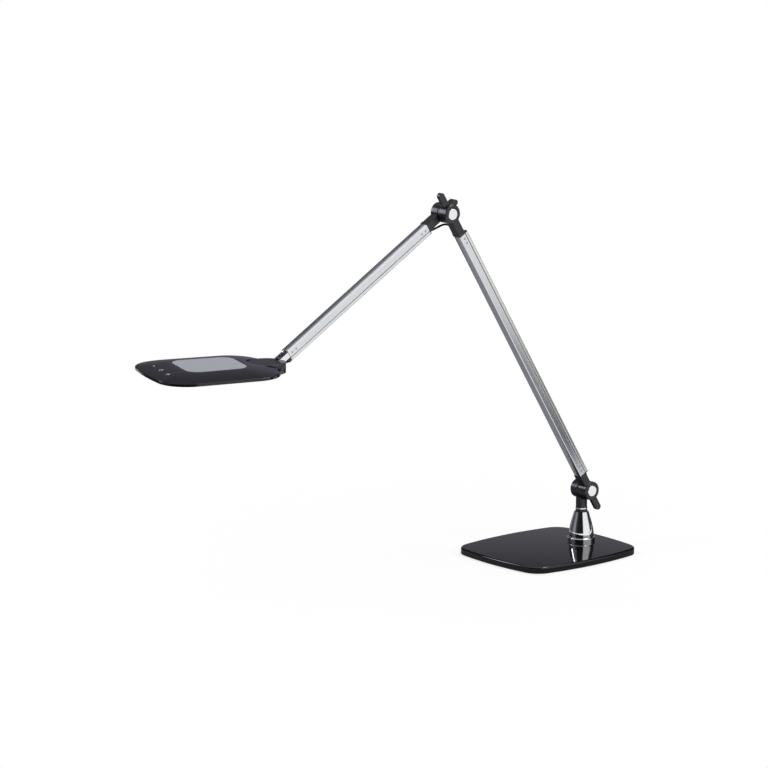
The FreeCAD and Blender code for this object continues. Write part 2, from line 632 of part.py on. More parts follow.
EAR_IN, EAR_OUT = "3.3", "(tube_wide / 2 - 0.6)"
WALL = "tube_wall + 0.05"
fork_parts = [block("fork_tongue", grown(MID_SIDE, "-(%s)" % WALL), across(-1, WALL),
                    ("upper_end - 18", "upper_end"))]
for sign in ("-", ""):
    ear_x = tuple(sorted((sign + EAR_IN, sign + EAR_OUT), key=number))
    fork_parts.append(block("ear_bar", ear_x, ("-ear_radius", "ear_radius"), ("upper_end", "upper_len")))
    fork_parts.append(rod("ear_end", "ear_radius", "x", ear_x, ("0", "upper_len")))
fork_bore = rod("fork_bore", "1.6 + run_fit", "x", ("-20", "20"), ("0", "upper_len"))
fork_threads = tongue_bores("fork", MID_SIDE[1], "upper_end", False)
node(carve("fork", join("fork_solid", *fork_parts), fork_bore, *fork_threads), "head_fork", "upper")
plug_low = block("plug_low", grown(MID_SIDE, "-0.4"), beside(-1, "ear_radius + 0.05", "strip_top - 0.3"),
                 ("upper_end", "upper_end + 5"))
plug_mid = block("plug_mid", ("-%s + 0.05" % EAR_IN, "%s - 0.05" % EAR_IN),
                 ("-strip_top + 0.3", "ear_radius - 0.6"),
                 ("upper_end", "upper_end + 7"))
node(join("plug_solid", plug_low, plug_mid), "strip_plug", "upper")

# Short cable below the elbow: two tangent arcs between the upper arm's strip and the lower arm's neck.
lean, drop = math.radians(number("lower_lean")), math.radians(number("upper_drop"))
upper_dir = Vector(0, -math.cos(drop), -math.sin(drop))
upper_side = Vector(0, -math.sin(drop), math.cos(drop))
lower_dir = Vector(0, -math.sin(lean), math.cos(lean))
lower_side = Vector(0, math.cos(lean), math.sin(lean))
leave = Vector(0, math.cos(drop - 0.3), math.sin(drop - 0.3))
cable_start = upper_dir * number("upper_neck - 0.5") + upper_side * number(STRIP_MID)
cable_end = X * number(ARM_SIDE[0] + " + 4") - lower_dir * CABLE_DOWN - lower_side * CABLE_IN
lead_in = cable_start + leave * 2.5
lead_out = cable_end - X * 5.5


def half_bend(start, knee, end):
    """Arc that touches start-knee and knee-end at its two ends."""
    chord = (start + end) * 0.5
    reach = (knee - start).Length
    half = (knee - start).getAngle(end - knee) / 2
    radius = reach / math.tan(half)
    middle = knee + (chord - knee).normalize() * (math.hypot(radius, reach) - radius)
    return Part.Arc(start, middle, end)


ahead_in, ahead_out = leave, X
span = lead_out - lead_in
bend = 1 - ahead_in.dot(ahead_out)
pull = span.dot(ahead_in + ahead_out)
reach = span.dot(span) / (pull + math.sqrt(pull ** 2 + 2 * bend * span.dot(span)))
knee_in, knee_out = lead_in + ahead_in * reach, lead_out - ahead_out * reach
waist = (knee_in + knee_out) * 0.5
spine = Part.Wire([Part.LineSegment(cable_start, lead_in).toShape(),
                   half_bend(lead_in, knee_in, waist).toShape(),
                   half_bend(waist, knee_out, lead_out).toShape(),
                   Part.LineSegment(lead_out, cable_end).toShape()])
skin = Part.Wire([Part.Circle(cable_start, ahead_in, number("cable_radius")).toShape()])
cable = doc.addObject("Part::Feature", "cable_sweep")
cable.Shape = spine.makePipeShell([skin], True, True)
node(cable, "elbow_cable", "elbow")

# Turntable: disc with two slots for the ears of the fork, tilt pin, swivel bolt and washer.
AXIS = ("0", "-disc_ahead")
disc = rod("disc_bar", "disc_radius", "z", ("disc_low", "disc_top"), AXIS)
disc = soften("disc_round", disc, "0.8", lambda e: level(e, Z, number("disc_top")))
slots = []
for sign in ("-", ""):
    slot_x = tuple(sorted((sign + "(%s - 0.35)" % EAR_IN, sign + "(%s + 0.35)" % EAR_OUT), key=number))
    slots.append(block("ear_slot", slot_x, ("-ear_radius - 0.45", "disc_radius"),
                       ("disc_low - 1", "disc_top + 1")))
pin_hole = rod("pin_hole", "1.6", "x", ("-disc_radius / 2 - 0.5", "disc_radius / 2 + 0.5"))
thread = rod("swivel_thread", "3", "z", ("disc_low - 1", "disc_top - 2"), AXIS)
node(carve("turntable_cut", disc, *slots, pin_hole, thread), "turntable", "knuckle")
node(rod("pin_bar", "1.6", "x", ("-disc_radius / 2", "disc_radius / 2")), "tilt_pin", "knuckle")
swivel_bolt = screw("swivel", "3", "6", "z", ("pad_low + 0.2", "pad_low + 2"), "disc_top - 2.2", AXIS)
node(swivel_bolt, "swivel_bolt", "knuckle")
swivel_ring = rod("swivel_ring", "6.2", "z", ("pad_low + 2", "pad_low + 2.6"), AXIS)
swivel_hole = rod("swivel_hole", "3", "z", ("pad_low", "pad_top"), AXIS)
node(carve("swivel_ring_cut", swivel_ring, swivel_hole), "swivel_washer", "knuckle")

# Head: drawn about the turntable axis, forward along -Y, with X as the side direction.
front, half = number("head_front"), number("head_half")
pane_front, pane_rear, pane_half = number("window_front"), number("window_rear"), number("window_half")


def mirrored(points, radii, nose=None):
    """Outline symmetric about the long axis, from (forward, side) corners listed front to rear."""
    right = [(side, -ahead) for ahead, side in points]
    left = [(-side, -ahead) for ahead, side in reversed(points)]
    corners, bends = right + left, list(radii) + list(reversed(radii))
    if nose:
        corners, bends = corners + [(0, -nose[0])], bends + [nose[1]]
    return rounded(corners, bends)


def tray(inset, rear=0):
    """Outline of the room in the head."""
    ahead, side = number("tray_front") - inset, number("tray_half") - inset
    return mirrored([(ahead, side), (number("tray_rear") + inset + rear, side)], (32 - inset, 20 - inset))


def window(inset):
    return mirrored([(pane_front - inset, pane_half - inset), (pane_rear + inset, pane_half - 3 - inset)],
                    (16.5 - inset, 16.5 - inset))


RIM_CORNERS = ((front - 6, half), (12, half - 4.5), (-8, 35))
CREST_CORNERS = ((pane_front + 3.5, pane_half + 3.5), (pane_rear + 6, pane_half + 1), (pane_rear - 4, 28))
rim = mirrored(RIM_CORNERS, (40, 40, 14), (front, 450))
crest = mirrored(CREST_CORNERS, (19, 16, 6), (pane_front + 5, 300))
between = [((a + c) / 2, (b + d) / 2) for (a, b), (c, d) in zip(RIM_CORNERS, CREST_CORNERS)]
shoulder = mirrored(between, (29.5, 28, 10), ((front + pane_front + 5) / 2, 375))
ceiling = mirrored([(pane_front - 4, pane_half - 4), (pane_rear + 6, pane_half - 7)], (14, 14))
SHORT = "disc_radius + 0.7"
SCREW_SPOTS = [(side, ahead) for ahead in ("-0.6 * head_front", "-24") for side in ("-1", "1")]
SCREW_SPOTS = [("%s * (%s)" % (side, "head_half - 7.5" if "front" in ahead else "48"), ahead)
               for side, ahead in SCREW_SPOTS]

frame_slab = slab("frame_slab", rim, ("panel_low", "seam_z"))
frame_slab = soften("frame_round", frame_slab, "0.6", lambda e: level(e, Z, number("panel_low")))
pad_disc = rod("pad_disc", "disc_radius", "z", ("pad_low", "pad_top"))
bridge = block("bridge", ("-18", "18"), ("-tray_rear - 4", "0"), ("pad_low", "panel_low + 0.5"))
frame_room = slab("frame_room", tray(0), ("panel_low + 0.9", "seam_z + 1"))
frame_light = slab("frame_light", tray(6), ("pad_low - 1", "panel_low + 1"))
frame_turn = rod("frame_turn", SHORT, "z", ("pad_top", "seam_z + 1"))
frame_bore = rod("frame_bore", "3 + run_fit", "z", ("pad_low - 1", "pad_top + 1"))
frame_sink = rod("frame_sink", "6.6", "z", ("pad_low - 1", "pad_low + 2.9"))
frame_holes = [rod("frame_hole", "1.2", "z", ("panel_low - 1", "seam_z + 1"), spot) for spot in SCREW_SPOTS]
frame_heads = [rod("frame_head", "2.4", "z", ("panel_low - 1", "panel_low + 1.2"), spot)
               for spot in SCREW_SPOTS]
frame_solid = join("frame_solid", frame_slab, pad_disc, bridge)
node(carve("frame_cut", frame_solid, frame_room, frame_light, frame_turn, frame_bore, frame_sink,
           *frame_holes,
           *frame_heads), "head_frame", "head")



def crowned(name, shift):
    """Crowned top of the head, raised by a shift: rim, shoulder and crest."""
    heights = ("rim_z", "rim_z + 0.63 * panel_rise", "crest_z")
    return tapered(name, (rim, shoulder, crest), ["%s + (%g)" % (z, shift) for z in heights])


dome = crowned("dome", 0)
edge = slab("edge", rim, ("seam_z + 0.15", "rim_z"))
hollow_low = slab("hollow_low", tray(0), ("seam_z - 1", "rim_z"))
hollow_high = tapered("hollow_high", (tray(0), ceiling), ("rim_z", "crest_z - 2"))
pane_room = slab("pane_room", window(0), ("crest_z - 1.2", "crest_z + 1"))
shell_turn = rod("shell_turn", SHORT, "z", ("pad_top", "crest_z + 1"))
shell_holes = [rod("shell_hole", "1.2", "z", ("seam_z - 1", "rim_z - 0.2"), spot) for spot in SCREW_SPOTS]

# Touch marks: minus, power and plus, inlaid in the front slope.
MARK_Y = "-(window_front + 24)"
MARK_Z = ("panel_low", "crest_z + 5")


def bar(name, x, wide, deep):
    return block(name, ("%s - %s / 2" % (x, wide), "%s + %s / 2" % (x, wide)),
                 ("%s - %s / 2" % (MARK_Y, deep), "%s + %s / 2" % (MARK_Y, deep)), MARK_Z)


power_ring = carve("power_ring", rod("power_outer", "3", "z", MARK_Z, ("0", MARK_Y)),
                   rod("power_inner", "2.1", "z", MARK_Z, ("0", MARK_Y)))
plus = join("plus_mark", bar("plus_side", "28", "6.4", "1.1"), bar("plus_long", "28", "1.1", "6.4"))
marks = group("mark_prisms", [bar("minus_mark", "-28", "6.4", "1.1"), power_ring, plus])
skin_high = crowned("skin_high", 0.12)
skin_low = crowned("skin_low", -0.3)
touch_marks = carve("touch_marks_cut", overlap("marks_high", marks, skin_high), skin_low)
node(touch_marks, "touch_marks", "head")
mark_room = carve("mark_room", marks, skin_low)
shell_solid = join("shell_joined", dome, edge)
shell_solid = soften("shell_solid", shell_solid, "0.7", lambda e: level(e, Z, number("rim_z")))
node(carve("shell_cut", shell_solid, hollow_low, hollow_high, pane_room, shell_turn, *shell_holes, mark_room),
     "head_shell", "head")
node(slab("pane", window(0.15), ("crest_z - 1.2", "crest_z + 0.15")), "window_plate", "head")

node(slab("diffuser_slab", tray(0.2), ("panel_low + 0.9", "panel_low + 1.7")), "diffuser", "head")
node(slab("guide_slab", tray(0.2, 3), ("panel_low + 1.7", "panel_low + 3.2")), "light_guide", "head")
node(slab("mirror_slab", tray(0.2, 3), ("panel_low + 3.2", "panel_low + 3.5")), "reflector", "head")
node(block("led_bar", ("-tray_half + 22", "tray_half - 22"), ("-tray_rear - 1.3", "-tray_rear - 0.3"),
           ("panel_low + 1.7", "panel_low + 3.4")), "led_board", "head")
CHIPS = 14
chips = [block("chip_%d" % i,
               ("(tray_half - 25) * %.6f - 1.2" % share, "(tray_half - 25) * %.6f + 1.2" % share),
               ("-tray_rear - 2.1", "-tray_rear - 1.3"), ("panel_low + 1.9", "panel_low + 3.1"))
         for i, share in enumerate(2 * k / (CHIPS - 1) - 1 for k in range(CHIPS))]
node(group("chip_set", chips), "led_chips", "head")
node(block("touch_slab", ("-34", "34"), ("-window_front - 20", "-window_front - 6"),
           ("panel_low + 3.5", "panel_low + 4.2")), "touch_board", "head")
head_screws = [screw("head_screw_%d" % i, "1.2", "2.2", "z", ("panel_low + 0.1", "panel_low + 1.2"),
                     "rim_z - 0.4", spot)
               for i, spot in enumerate(SCREW_SPOTS)]
node(group("head_screw_set", head_screws), "head_screws", "head")

# Check every piece, then write one file for each.
doc.recompute()
for obj in doc.Objects:
    if "Invalid" in obj.State or "Error" in obj.State:
        raise RuntimeError("not built: %s" % obj.Name)
os.makedirs("parts", exist_ok=True)
for obj in NODES:
    shape = obj.Shape
    if shape.isNull() or not shape.isValid() or not shape.Solids:
        raise RuntimeError("no valid solid: %s" % obj.Label)
    shape.exportStep("parts/%s.step" % obj.Label)
    print("%-26s solids %2d volume %10.1f" % (obj.Label, len(shape.Solids), shape.Volume))
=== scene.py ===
# %% [markdown]
# # A desk lamp with two swing arms
# The lamp stands on a heavy black plate. A bright bell-shaped cone carries a post that turns, two
# aluminium arms hinge on it, and a flat black light head tilts and swings at their end.
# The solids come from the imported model, in metres, and stay where they are. This script gives them
# their finishes, adds the one flexible piece, and sets up the studio and the camera.

# %% Load the frame
import json
import math

import bpy
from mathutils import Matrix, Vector


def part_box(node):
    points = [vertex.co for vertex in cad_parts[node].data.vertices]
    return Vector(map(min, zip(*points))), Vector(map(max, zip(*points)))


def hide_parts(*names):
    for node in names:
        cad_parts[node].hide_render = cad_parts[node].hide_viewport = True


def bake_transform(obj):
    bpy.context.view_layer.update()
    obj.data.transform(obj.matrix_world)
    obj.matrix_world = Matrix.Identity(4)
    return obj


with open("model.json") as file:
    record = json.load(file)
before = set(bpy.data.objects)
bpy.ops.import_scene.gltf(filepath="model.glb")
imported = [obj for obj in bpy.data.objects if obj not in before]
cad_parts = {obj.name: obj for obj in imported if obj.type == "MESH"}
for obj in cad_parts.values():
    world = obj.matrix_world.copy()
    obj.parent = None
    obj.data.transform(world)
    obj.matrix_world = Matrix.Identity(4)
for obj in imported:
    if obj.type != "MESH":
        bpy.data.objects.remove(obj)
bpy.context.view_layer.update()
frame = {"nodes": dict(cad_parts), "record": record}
nodes = frame["nodes"]

# %% [markdown]
# ## Camera
# The lamp is seen from far away through a long lens, so parallel edges stay nearly parallel.
# The camera stands 6 m off, 50 degrees round from the front and 11.7 degrees above the horizon.
# The picture is square, so the lens follows from the wanted scale of 4411 pixels per unit of slope.

# %% Camera
SENSOR_WIDE = 36.0
PICTURE_WIDE = 768
PIXELS_PER_SLOPE = 4411.3

scene = bpy.context.scene
camera_place = Vector((4.3232, -3.9179, 1.4431))
camera_aim = Vector((-0.1776, -0.1414, 0.2264))
camera_data = bpy.data.cameras.new("studio_camera")
camera_data.sensor_width = SENSOR_WIDE
camera_data.lens = SENSOR_WIDE * PIXELS_PER_SLOPE / PICTURE_WIDE
camera_data.clip_end = 100
camera = bpy.data.objects.new("studio_camera", camera_data)
camera.location = camera_place
camera.rotation_euler = (camera_aim - camera_place).to_track_quat("-Z", "Y").to_euler()
scene.collection.objects.link(camera)
scene.camera = camera
scene.view_settings.view_transform = "Standard"
print("lens in mm:", round(camera_data.lens, 1))

# %% [markdown]
# ## Small helpers
# Colours are written as they look on a screen (sRGB) and turned to the linear values that Blender
# works with. One function adds a node with its settings and links. Two more open and close a material.
# Some sockets share a name, so they are picked by number: a colour Mix has its factor at 0, its two
# colours at 6 and 7 and its result at 2, and a Map Range has its four limits at 1 to 4.

# %% Helpers
MM = 0.001


def linear(code):
    """Linear colour of an sRGB hex code."""
    parts = [int(code[i:i + 2], 16) / 255 for i in (1, 3, 5)]
    return [c / 12.92 if c <= 0.04045 else ((c + 0.055) / 1.055) ** 2.4 for c in parts] + [1.0]


def add(tree, kind, inputs=None, **settings):
    """Add a node; an input is a value or the output socket of another node."""
    made = tree.nodes.new(kind)
    for name, value in settings.items():
        setattr(made, name, value)
    for socket, source in (inputs or {}).items():
        if isinstance(source, bpy.types.NodeSocket):
            tree.links.new(source, made.inputs[socket])
        else:
            made.inputs[socket].default_value = source
    return made


def start(name):
    """Empty material, its node tree and the coordinates of the piece in metres."""
    made = bpy.data.materials.new(name)
    made.use_nodes = True
    made.node_tree.nodes.clear()
    place = add(made.node_tree, "ShaderNodeTexCoord").outputs["Object"]
    return made, made.node_tree, place


def close(tree, shader):
    """End a material with its surface shader."""
    add(tree, "ShaderNodeOutputMaterial", {"Surface": shader.outputs[0]})


print("white as linear:", linear("#ffffff"))

# %% [markdown]
# ## World
# The studio is white all round. Rays from the camera, from mirrors and through clear pieces see that
# white; all other rays see a softer level that fills the shadows. One world with two levels does both,
# so the background can be plain white with no extra light on the lamp.

# %% World
FILL_LEVEL = 0.5
WHITE_LEVEL = 1.0

world = bpy.data.worlds.new("white_studio")
scene.world = world
world.use_nodes = True
tree = world.node_tree
tree.nodes.clear()


def seen_directly(tree):
    """1 for rays from the camera, from mirrors and through clear pieces, else 0."""
    ray = add(tree, "ShaderNodeLightPath").outputs
    seen = ray["Is Camera Ray"]
    for kind in ("Is Glossy Ray", "Is Transmission Ray"):
        seen = add(tree, "ShaderNodeMath", {0: seen, 1: ray[kind]}, operation="MAXIMUM").outputs[0]
    return seen


fill = add(tree, "ShaderNodeBackground", {"Color": linear("#ffffff"), "Strength": FILL_LEVEL})
white = add(tree, "ShaderNodeBackground", {"Color": linear("#ffffff"), "Strength": WHITE_LEVEL})
mixed = add(tree, "ShaderNodeMixShader", {0: seen_directly(tree), 1: fill.outputs[0], 2: white.outputs[0]})
add(tree, "ShaderNodeOutputWorld", {"Surface": mixed.outputs[0]})
print("world:", world.name)

# %% [markdown]
# ## Table
# A wide sheet of white paper lies under the lamp. Near the lamp a fifth of what is seen is real paper,
# which takes the soft shadow; further out the sheet glows plain white and runs into the world.
# One flat face is enough for that, because its material mixes the two by the distance from the lamp.

# %% Table
PAPER_HALF = 30
PAPER_DROP = 0.2 * MM
# Between these distances from the middle, in metres, the share of glow grows from low to full.
SHADOW_ENDS = (0.15, 0.6)
GLOW_SHARE = (0.8, 1.0)


def sheet_mesh(name, corners, faces):
    """Studio piece made of flat faces, which is no part of the lamp."""
    mesh = bpy.data.meshes.new(name)
    mesh.from_pydata(corners, [], faces)
    holder = bpy.data.objects.new(name, mesh)
    scene.collection.objects.link(holder)
    return holder


paper_corners = [(x * PAPER_HALF, y * PAPER_HALF, 0) for x, y in ((-1, -1), (1, -1), (1, 1), (-1, 1))]
floor = sheet_mesh("studio_floor", paper_corners, [(0, 1, 2, 3)])
floor.location.z = -PAPER_DROP
paper, tree, place = start("white_paper_sweep")
matte = add(tree, "ShaderNodeBsdfDiffuse", {"Color": linear("#f4f4f4")})
glow = add(tree, "ShaderNodeEmission", {"Color": linear("#ffffff"), "Strength": WHITE_LEVEL})
far = add(tree, "ShaderNodeVectorMath", {0: place}, operation="LENGTH").outputs["Value"]
limits = dict(enumerate(SHADOW_ENDS + GLOW_SHARE, 1))
share = add(tree, "ShaderNodeMapRange", {0: far, **limits}).outputs[0]
share = add(tree, "ShaderNodeMath", {0: share, 1: seen_directly(tree)}, operation="MULTIPLY").outputs[0]
close(tree, add(tree, "ShaderNodeMixShader", {0: share, 1: matte.outputs[0], 2: glow.outputs[0]}))
floor.data.materials.append(paper)
print("table:", floor.name)

# %% [markdown]
# ## What the polish mirrors
# Gloss black and chrome look like what they mirror, so a photographer builds a surround for them. Here
# it is a tall cylinder round the lamp, painted in bands: nearly black on the camera's side, white on
# the right, grey behind. A low graded card behind the base and a bright strip on the left finish it.
# Only mirror rays meet these cards, so they neither show in the picture nor shade anything.

# %% Cards round the lamp
lamp_middle = Vector((0.0, -0.1, 0.0))
camera_turn = math.atan2(camera_place.y - lamp_middle.y, camera_place.x - lamp_middle.x)


def ramp(tree, value, stops):
    """Colour ramp through pairs of a position and an sRGB code."""
    made = add(tree, "ShaderNodeValToRGB", {0: value})
    spots = made.color_ramp.elements
    while len(spots) < len(stops):
        spots.new(1.0)
    for spot, (position, code) in zip(spots, stops):
        spot.position = position
        spot.color = linear(code)
    return made.outputs[0]


def mirror_only(holder, paint, colour, strength=1.0):
    """Paint a card with light and hide it from all rays but those of mirrors."""
    tree = paint.node_tree
    close(tree, add(tree, "ShaderNodeEmission", {"Color": colour, "Strength": strength}))
    holder.data.materials.append(paint)
    holder.visible_camera = False
    holder.visible_diffuse = False
    holder.visible_shadow = False
    holder.visible_transmission = False
    holder.visible_volume_scatter = False


def bent_card(name, first, last, radius, low, high):
    """Upright card bent round the lamp; angles in degrees from the camera's side, positive to the right."""
    steps = max(8, round(abs(last - first) / 5))
    turns = [math.radians(first + (last - first) * i / steps) for i in range(steps + 1)]
    corners = [(radius * math.cos(t), radius * math.sin(t), z) for t in turns for z in (low, high)]
    faces = [(2 * i, 2 * i + 2, 2 * i + 3, 2 * i + 1) for i in range(steps)]
    holder = sheet_mesh(name, corners, faces)
    holder.location = lamp_middle
    holder.rotation_euler.z = camera_turn
    return holder


# Angle in degrees from the camera's side and the colour painted there.
BANDS = [(-180, "#7c7987"), (-168, "#797684"), (-150, "#615f68"), (-125, "#4b4a50"), (-106, "#4f4e54"),
         (-92, "#68686c"), (-80, "#8c8c90"), (-64, "#8c8c90"), (-54, "#4a4a4d"), (-40, "#262628"),
         (14, "#1a1a1b"), (20, "#262628"), (27, "#ffffff"), (88, "#ffffff"), (97, "#4a4a4d"),
         (125, "#262629"), (158, "#3f3e44"), (172, "#767380"), (180, "#7c7987")]
surround = bent_card("surround", -180, 180, 1.7, 0.0, 2.2)
paint, tree, place = start("painted_surround")
turn = add(tree, "ShaderNodeTexGradient", {"Vector": place}, gradient_type="RADIAL")
stops = [(angle / 360 + 0.5, code) for angle, code in BANDS]
mirror_only(surround, paint, ramp(tree, turn.outputs[1], stops))

skirt = bent_card("low_back_card", 150, 215, 0.62, 0.0, 0.26)
paint, tree, place = start("graded_grey_card")
up = add(tree, "ShaderNodeSeparateXYZ", {0: place})
grade = add(tree, "ShaderNodeMapRange", {0: up.outputs["Z"], 1: 0.08, 2: 0.2})
mirror_only(skirt, paint, ramp(tree, grade.outputs[0], [(0.0, "#a6a4ae"), (1.0, "#3c3b42")]))

# The left strip draws the soft bands on the round hubs; it is narrow, so the head's left rim stays dark.
strip = bent_card("left_strip", -106, -93, 1.5, 0.55, 1.35)
mirror_only(strip, start("bright_tissue")[0], linear("#f3efff"), 9.0)
print("cards round the lamp:", [card.name for card in (surround, skirt, strip)])

# %% [markdown]
# ## Cards on the table and overhead
# Arms, hubs and cone mirror the table too, and white paper alone would make their lower faces too
# pale, so felt in greys lies where those faces look. A bright strip of tissue hangs overhead and
# draws the thin line along the near rim of the head. Each is a flat face of one colour of light,
# because the lamp mirrors little more of it than its outline.


# %% Cards on the table and overhead
def flat_card(name, paint_name, corners, height, code, strength=1.0):
    """Level card through corners in x and y."""
    holder = sheet_mesh(name, [(x, y, height) for x, y in corners], [tuple(range(len(corners)))])
    mirror_only(holder, start(paint_name)[0], linear(code), strength)
    return holder


FELTS = {"table_left": ([(-0.6, -0.4), (0.12, -0.4), (0.12, 0.12), (-0.6, 0.12)], "#8a8a8f"),
         "table_far": ([(-1.6, -1.4), (-0.6, -1.4), (-0.6, 0.12), (-1.6, 0.12)], "#303033"),
         "table_back": ([(-1.2, 0.12), (0.12, 0.12), (0.12, 1.2), (-1.2, 1.2)], "#3a3a3d"),
         "table_lane": ([(0.4, 0.3), (1.25, 0.7), (1.25, 1.15), (0.4, 0.6)], "#505056")}
for name, (corners, code) in FELTS.items():
    flat_card(name, name + "_felt", corners, 0.0, code)
overhead = [(0.0, 1.0), (0.9, 0.2), (1.3, 0.6), (0.4, 1.4)]
top_strip = flat_card("top_strip", "top_tissue", overhead, 2.5, "#ffffff", 11.0)
print("cards on the table and overhead:", list(FELTS), top_strip.name)

# %% [markdown]
# ## Lamps
# One wide soft lamp hangs above, a little to the right and behind, and gives most of the light. Two
# weaker ones on the left and right open the upright faces. The first two aren't mirrored, because the
# cards already draw what the polish shows, and a mirrored lamp would wash out the satin arms.


# %% Lamps
def soft_lamp(name, place, aim, size, watts):
    """Square soft lamp that points at a place."""
    lamp = bpy.data.lights.new(name, "AREA")
    lamp.shape = "RECTANGLE"
    lamp.size = lamp.size_y = size
    lamp.energy = watts
    holder = bpy.data.objects.new(name, lamp)
    holder.location = place
    holder.rotation_euler = (Vector(aim) - Vector(place)).to_track_quat("-Z", "Y").to_euler()
    scene.collection.objects.link(holder)
    return holder


lamp_aim = (0, -0.2, 0.25)
top_box = soft_lamp("top_softbox", (0.6, 0.7, 2.6), lamp_aim, 1.8, 34)
left_box = soft_lamp("left_softbox", (-1.2, -2.6, 1.9), lamp_aim, 1.2, 22)
right_box = soft_lamp("right_softbox", (2.4, 0.6, 1.6), lamp_aim, 1.2, 18)
top_box.visible_glossy = False
left_box.visible_glossy = False
print("lamps:", [lamp.name for lamp in (top_box, left_box, right_box)])

# %% [markdown]
# ## Polished black ABS
# The base cover and the light head are injection moulded in ABS from polished moulds. The colour is
# a near black with a trace of blue. The polish is almost a mirror; handling leaves soft patches that
# are a little duller, some 60 mm across, and the moulding shrinks into very slow waves.

# %% Polished black ABS
FINISH = {}
PATCH_WIDE = 60 * MM
SHRINK_WAVE = 35 * MM

made, tree, place = start("polished_black_abs")
patch = add(tree, "ShaderNodeTexNoise", {
    "Vector": place, "Scale": 1 / PATCH_WIDE, "Detail": 3.0, "Roughness": 0.6}).outputs[0]
polish = add(tree, "ShaderNodeMapRange", {0: patch, 1: 0.3, 2: 0.7, 3: 0.035, 4: 0.08})
tone = add(tree, "ShaderNodeMix", {0: patch, 6: linear("#08080a"), 7: linear("#0c0c10")}, data_type="RGBA")
wave = add(tree, "ShaderNodeTexNoise", {"Vector": place, "Scale": 1 / SHRINK_WAVE, "Detail": 1.0})
relief = add(tree, "ShaderNodeBump", {"Height": wave.outputs[0], "Strength": 0.2, "Distance": 0.02 * MM})
close(tree, add(tree, "ShaderNodeBsdfPrincipled", {
    "Base Color": tone.outputs[2], "Roughness": polish.outputs[0], "IOR": 1.53,
    "Normal": relief.outputs[0]}))
FINISH["gloss_black"] = made
print("finish:", made.name)

# %% [markdown]
# ## Moulded black nylon
# Hubs, stem, turntable and plug are glass-filled nylon from spark-eroded moulds. That gives a fine
# even grain and a satin sheen. The real grain is about 0.2 mm; it is drawn at 0.5 mm so that it shows.

# %% Moulded black nylon
GRAIN_WIDE = 0.5 * MM
FLOW_PATCH = 9 * MM

made, tree, place = start("moulded_black_nylon")
grain = add(tree, "ShaderNodeTexNoise", {"Vector": place, "Scale": 1 / GRAIN_WIDE, "Detail": 2.0}).outputs[0]
flow = add(tree, "ShaderNodeTexNoise", {"Vector": place, "Scale": 1 / FLOW_PATCH, "Detail": 2.0})
sheen = add(tree, "ShaderNodeMapRange", {0: flow.outputs[0], 1: 0.3, 2: 0.7, 3: 0.26, 4: 0.34})
tone = add(tree, "ShaderNodeMix", {0: grain, 6: linear("#0e0c12"), 7: linear("#19161e")}, data_type="RGBA")
relief = add(tree, "ShaderNodeBump", {"Height": grain, "Strength": 0.12, "Distance": 0.03 * MM})
close(tree, add(tree, "ShaderNodeBsdfPrincipled", {
    "Base Color": tone.outputs[2], "Roughness": sheen.outputs[0], "IOR": 1.55,
    "Normal": relief.outputs[0]}))
FINISH["black_nylon"] = made
print("finish:", made.name)

# %% [markdown]
# ## Bright chromium
# The cone, the ring on the post, the two hub caps and the fork are zinc castings, polished and chromed.
# Chromium is a nearly neutral mirror. Polishing leaves slow waves about 11 mm long, which bend the
# edges of what it mirrors, and a faint haze in patches of 4 mm.

# %% Bright chromium
HAZE_PATCH = 4 * MM
POLISH_WAVE = 11 * MM

made, tree, place = start("chromed_zinc")
haze = add(tree, "ShaderNodeTexNoise", {"Vector": place, "Scale": 1 / HAZE_PATCH, "Detail": 2.0}).outputs[0]
polish = add(tree, "ShaderNodeMapRange", {0: haze, 1: 0.3, 2: 0.7, 3: 0.03, 4: 0.07})
tone = add(tree, "ShaderNodeMix", {0: haze, 6: linear("#e3e4e8"), 7: linear("#ecedf0")}, data_type="RGBA")
wave = add(tree, "ShaderNodeTexNoise", {"Vector": place, "Scale": 1 / POLISH_WAVE, "Detail": 0.0})
relief = add(tree, "ShaderNodeBump", {"Height": wave.outputs[0], "Strength": 0.15, "Distance": 0.05 * MM})
close(tree, add(tree, "ShaderNodeBsdfPrincipled", {
    "Base Color": tone.outputs[2], "Metallic": 1.0, "Roughness": polish.outputs[0],
    "Normal": relief.outputs[0]}))
FINISH["chromed"] = made
print("finish:", made.name)

# %% [markdown]
# ## Zinc-plated steel
# Bolts, nuts, washers, screws and the weight are steel with a thin zinc plating: a grey metal with a
# soft shine, slightly cloudy in patches of 3 mm from the plating bath.

# %% Zinc-plated steel
CLOUD_WIDE = 3 * MM

made, tree, place = start("zinc_plated_steel")
cloud = add(tree, "ShaderNodeTexNoise", {"Vector": place, "Scale": 1 / CLOUD_WIDE, "Detail": 3.0}).outputs[0]
polish = add(tree, "ShaderNodeMapRange", {0: cloud, 1: 0.3, 2: 0.7, 3: 0.24, 4: 0.42})
tone = add(tree, "ShaderNodeMix", {0: cloud, 6: linear("#a2a4a8"), 7: linear("#b9bbbd")}, data_type="RGBA")
close(tree, add(tree, "ShaderNodeBsdfPrincipled", {
    "Base Color": tone.outputs[2], "Metallic": 1.0, "Roughness": polish.outputs[0]}))
FINISH["steel"] = made
print("finish:", made.name)
